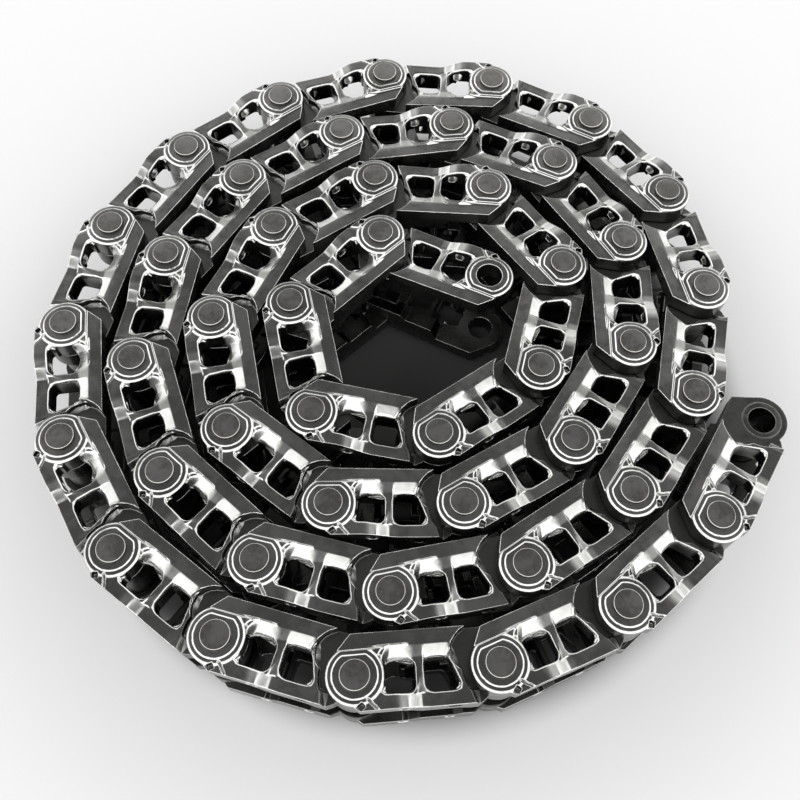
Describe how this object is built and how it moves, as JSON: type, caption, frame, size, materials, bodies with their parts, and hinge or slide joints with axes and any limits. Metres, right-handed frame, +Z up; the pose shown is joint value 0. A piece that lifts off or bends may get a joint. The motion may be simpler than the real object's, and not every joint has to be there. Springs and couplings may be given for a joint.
{
  "type": "track chain",
  "caption": "Rolled-up crawler track chain: forged offset links in pairs, hinged by pins turning in bushes, lying on its side.",
  "frame": {"origin": "middle of the roll's outline, on the floor under the lower pin ends", "axes": "+Z up along the hinge axes; +Y along the outer section, from its pin to its free bush; +X out of that section's shoe face"},
  "size_m": [1.278, 1.2908, 0.24],
  "materials": {
    "link": "forged, oiled, dark",
    "section": "forged, oiled, dark",
    "bush": "ground, oiled",
    "pin": "ground ends, oiled"
  },
  "bodies": {
    "section_01": {"right_link_01": "link", "left_link_01": "link", "bush_01": "bush"},
    "section_02": {"section_02": "section"},
    "section_03": {"section_03": "section"},
    "section_04": {"section_04": "section"},
    "section_05": {"section_05": "section"},
    "section_06": {"section_06": "section"},
    "section_07": {"section_07": "section"},
    "section_08": {"section_08": "section"},
    "section_09": {"section_09": "section"},
    "section_10": {"section_10": "section"},
    "section_11": {"section_11": "section"},
    "section_12": {"section_12": "section"},
    "section_13": {"section_13": "section"},
    "section_14": {"section_14": "section"},
    "section_15": {"section_15": "section"},
    "section_16": {"section_16": "section"},
    "section_17": {"section_17": "section"},
    "section_18": {"section_18": "section"},
    "section_19": {"section_19": "section"},
    "section_20": {"section_20": "section"},
    "section_21": {"section_21": "section"},
    "section_22": {"section_22": "section"},
    "section_23": {"section_23": "section"},
    "section_24": {"section_24": "section"},
    "section_25": {"section_25": "section"},
    "section_26": {"section_26": "section"},
    "section_27": {"section_27": "section"},
    "section_28": {"section_28": "section"},
    "section_29": {"section_29": "section"},
    "section_30": {"section_30": "section"},
    "section_31": {"section_31": "section"},
    "section_32": {"section_32": "section"},
    "section_33": {"section_33": "section"},
    "section_34": {"section_34": "section"},
    "section_35": {"section_35": "section"},
    "section_36": {"section_36": "section"},
    "section_37": {"section_37": "section"},
    "section_38": {"section_38": "section"},
    "section_39": {"section_39": "section"},
    "section_40": {"section_40": "section"},
    "section_41": {"section_41": "section"},
    "section_42": {"right_link_42": "link", "left_link_42": "link", "bush_42": "bush", "pin_42": "pin"},
    "section_43": {"right_link_43": "link", "left_link_43": "link", "bush_43": "bush", "pin_43": "pin"},
    "section_44": {"right_link_44": "link", "left_link_44": "link", "bush_44": "bush", "pin_44": "pin"},
    "section_45": {"right_link_45": "link", "left_link_45": "link", "bush_45": "bush", "pin_45": "pin"}
  },
  "joints": [
    {"name": "hinge_01", "type": "hinge", "parent": "section_02", "child": "section_01", "pos_m": [-0.16001, 0.14623, 0.12], "axis": [0, 0, 1], "range_deg": [-4, 3]},
    {"name": "hinge_02", "type": "hinge", "parent": "section_03", "child": "section_02", "pos_m": [-0.2176, -0.06195, 0.12], "axis": [0, 0, 1], "range_deg": [0, 0.7]},
    {"name": "hinge_03", "type": "hinge", "parent": "section_04", "child": "section_03", "pos_m": [-0.06757, -0.21735, 0.12], "axis": [0, 0, 1], "range_deg": [0, 0.05]},
    {"name": "hinge_04", "type": "hinge", "parent": "section_05", "child": "section_04", "pos_m": [0.13383, -0.13929, 0.12], "axis": [0, 0, 1], "range_deg": [0, 0.1]},
    {"name": "hinge_05", "type": "hinge", "parent": "section_06", "child": "section_05", "pos_m": [0.2189, 0.05926, 0.12], "axis": [0, 0, 1], "range_deg": [0, 0.1]},
    {"name": "hinge_06", "type": "hinge", "parent": "section_07", "child": "section_06", "pos_m": [0.15544, 0.26572, 0.12], "axis": [0, 0, 1], "range_deg": [0, 0.2]},
    {"name": "hinge_07", "type": "hinge", "parent": "section_08", "child": "section_07", "pos_m": [-0.04478, 0.34675, 0.12], "axis": [0, 0, 1], "range_deg": [0, 0.25]},
    {"name": "hinge_08", "type": "hinge", "parent": "section_09", "child": "section_08", "pos_m": [-0.23781, 0.24982, 0.12], "axis": [0, 0, 1], "range_deg": [0, 0.35]},
    {"name": "hinge_09", "type": "hinge", "parent": "section_10", "child": "section_09", "pos_m": [-0.33526, 0.05705, 0.12], "axis": [0, 0, 1], "range_deg": [0, 0.2]},
    {"name": "hinge_10", "type": "hinge", "parent": "section_11", "child": "section_10", "pos_m": [-0.31685, -0.15817, 0.12], "axis": [0, 0, 1], "range_deg": [0, 0.2]},
    {"name": "hinge_11", "type": "hinge", "parent": "section_12", "child": "section_11", "pos_m": [-0.16909, -0.31572, 0.12], "axis": [0, 0, 1], "range_deg": [0, 0.35]},
    {"name": "hinge_12", "type": "hinge", "parent": "section_13", "child": "section_12", "pos_m": [0.04589, -0.33678, 0.12], "axis": [0, 0, 1], "range_deg": [0, 0.35]},
    {"name": "hinge_13", "type": "hinge", "parent": "section_14", "child": "section_13", "pos_m": [0.22902, -0.22225, 0.12], "axis": [0, 0, 1], "range_deg": [0, 0.4]},
    {"name": "hinge_14", "type": "hinge", "parent": "section_15", "child": "section_14", "pos_m": [0.32974, -0.03117, 0.12], "axis": [0, 0, 1], "range_deg": [0, 0.3]},
    {"name": "hinge_15", "type": "hinge", "parent": "section_16", "child": "section_15", "pos_m": [0.33309, 0.18481, 0.12], "axis": [0, 0, 1], "range_deg": [0, 0.25]},
    {"name": "hinge_16", "type": "hinge", "parent": "section_17", "child": "section_16", "pos_m": [0.22627, 0.37254, 0.12], "axis": [0, 0, 1], "range_deg": [0, 0.25]},
    {"name": "hinge_17", "type": "hinge", "parent": "section_18", "child": "section_17", "pos_m": [0.03297, 0.46893, 0.12], "axis": [0, 0, 1], "range_deg": [0, 0.35]},
    {"name": "hinge_18", "type": "hinge", "parent": "section_19", "child": "section_18", "pos_m": [-0.18132, 0.44179, 0.12], "axis": [0, 0, 1], "range_deg": [0, 0.3]},
    {"name": "hinge_19", "type": "hinge", "parent": "section_20", "child": "section_19", "pos_m": [-0.35259, 0.31018, 0.12], "axis": [0, 0, 1], "range_deg": [0, 0.4]},
    {"name": "hinge_20", "type": "hinge", "parent": "section_20", "child": "section_21", "pos_m": [-0.45028, 0.11753, 0.12], "axis": [0, 0, -1], "range_deg": [0, 0.4]},
    {"name": "hinge_21", "type": "hinge", "parent": "section_21", "child": "section_22", "pos_m": [-0.46271, -0.09811, 0.12], "axis": [0, 0, -1], "range_deg": [0, 0.3]},
    {"name": "hinge_22", "type": "hinge", "parent": "section_22", "child": "section_23", "pos_m": [-0.3804, -0.29782, 0.12], "axis": [0, 0, -1], "range_deg": [0, 0.3]},
    {"name": "hinge_23", "type": "hinge", "parent": "section_23", "child": "section_24", "pos_m": [-0.21316, -0.43451, 0.12], "axis": [0, 0, -1], "range_deg": [0, 0.35]},
    {"name": "hinge_24", "type": "hinge", "parent": "section_24", "child": "section_25", "pos_m": [-0.00045, -0.4721, 0.12], "axis": [0, 0, -1], "range_deg": [0, 0.35]},
    {"name": "hinge_25", "type": "hinge", "parent": "section_25", "child": "section_26", "pos_m": [0.20495, -0.40528, 0.12], "axis": [0, 0, -1], "range_deg": [0, 0.3]},
    {"name": "hinge_26", "type": "hinge", "parent": "section_26", "child": "section_27", "pos_m": [0.36234, -0.25734, 0.12], "axis": [0, 0, -1], "range_deg": [0, 0.3]},
    {"name": "hinge_27", "type": "hinge", "parent": "section_27", "child": "section_28", "pos_m": [0.45238, -0.061, 0.12], "axis": [0, 0, -1], "range_deg": [0, 0.4]},
    {"name": "hinge_28", "type": "hinge", "parent": "section_28", "child": "section_29", "pos_m": [0.46586, 0.15458, 0.12], "axis": [0, 0, -1], "range_deg": [0, 0.4]},
    {"name": "hinge_29", "type": "hinge", "parent": "section_29", "child": "section_30", "pos_m": [0.39601, 0.35898, 0.12], "axis": [0, 0, -1], "range_deg": [0, 0.35]},
    {"name": "hinge_30", "type": "hinge", "parent": "section_30", "child": "section_31", "pos_m": [0.24801, 0.5163, 0.12], "axis": [0, 0, -1], "range_deg": [0, 0.35]},
    {"name": "hinge_31", "type": "hinge", "parent": "section_31", "child": "section_32", "pos_m": [0.04678, 0.5948, 0.12], "axis": [0, 0, -1], "range_deg": [0, 0.35]},
    {"name": "hinge_32", "type": "hinge", "parent": "section_32", "child": "section_33", "pos_m": [-0.16873, 0.58021, 0.12], "axis": [0, 0, -1], "range_deg": [0, 0.55]},
    {"name": "hinge_33", "type": "hinge", "parent": "section_33", "child": "section_34", "pos_m": [-0.36018, 0.48019, 0.12], "axis": [0, 0, -1], "range_deg": [0, 1]},
    {"name": "hinge_34", "type": "hinge", "parent": "section_34", "child": "section_35", "pos_m": [-0.5017, 0.31701, 0.12], "axis": [0, 0, -1], "range_deg": [0, 2]},
    {"name": "hinge_35", "type": "hinge", "parent": "section_35", "child": "section_36", "pos_m": [-0.58052, 0.1159, 0.12], "axis": [0, 0, -1], "range_deg": [0, 29]},
    {"name": "hinge_36", "type": "hinge", "parent": "section_36", "child": "section_37", "pos_m": [-0.58938, -0.09992, 0.12], "axis": [0, 0, -1], "range_deg": [0, 30]},
    {"name": "hinge_37", "type": "hinge", "parent": "section_37", "child": "section_38", "pos_m": [-0.52363, -0.30567, 0.12], "axis": [0, 0, -1], "range_deg": [0, 31]},
    {"name": "hinge_38", "type": "hinge", "parent": "section_38", "child": "section_39", "pos_m": [-0.38706, -0.47301, 0.12], "axis": [0, 0, -1], "range_deg": [0, 32]},
    {"name": "hinge_39", "type": "hinge", "parent": "section_39", "child": "section_40", "pos_m": [-0.19697, -0.57559, 0.12], "axis": [0, 0, -1], "range_deg": [0, 32]},
    {"name": "hinge_40", "type": "hinge", "parent": "section_40", "child": "section_41", "pos_m": [0.01792, -0.59748, 0.12], "axis": [0, 0, -1], "range_deg": [0, 31]},
    {"name": "hinge_41", "type": "hinge", "parent": "section_41", "child": "section_42", "pos_m": [0.22558, -0.53804, 0.12], "axis": [0, 0, -1], "range_deg": [0, 30]},
    {"name": "hinge_42", "type": "hinge", "parent": "section_42", "child": "section_43", "pos_m": [0.39958, -0.41005, 0.12], "axis": [0, 0, -1], "range_deg": [0, 28]},
    {"name": "hinge_43", "type": "hinge", "parent": "section_43", "child": "section_44", "pos_m": [0.52333, -0.23302, 0.12], "axis": [0, 0, -1], "range_deg": [0, 27]},
    {"name": "hinge_44", "type": "hinge", "parent": "section_44", "child": "section_45", "pos_m": [0.58802, -0.02694, 0.12], "axis": [0, 0, -1], "range_deg": [0, 27]}
  ]
}
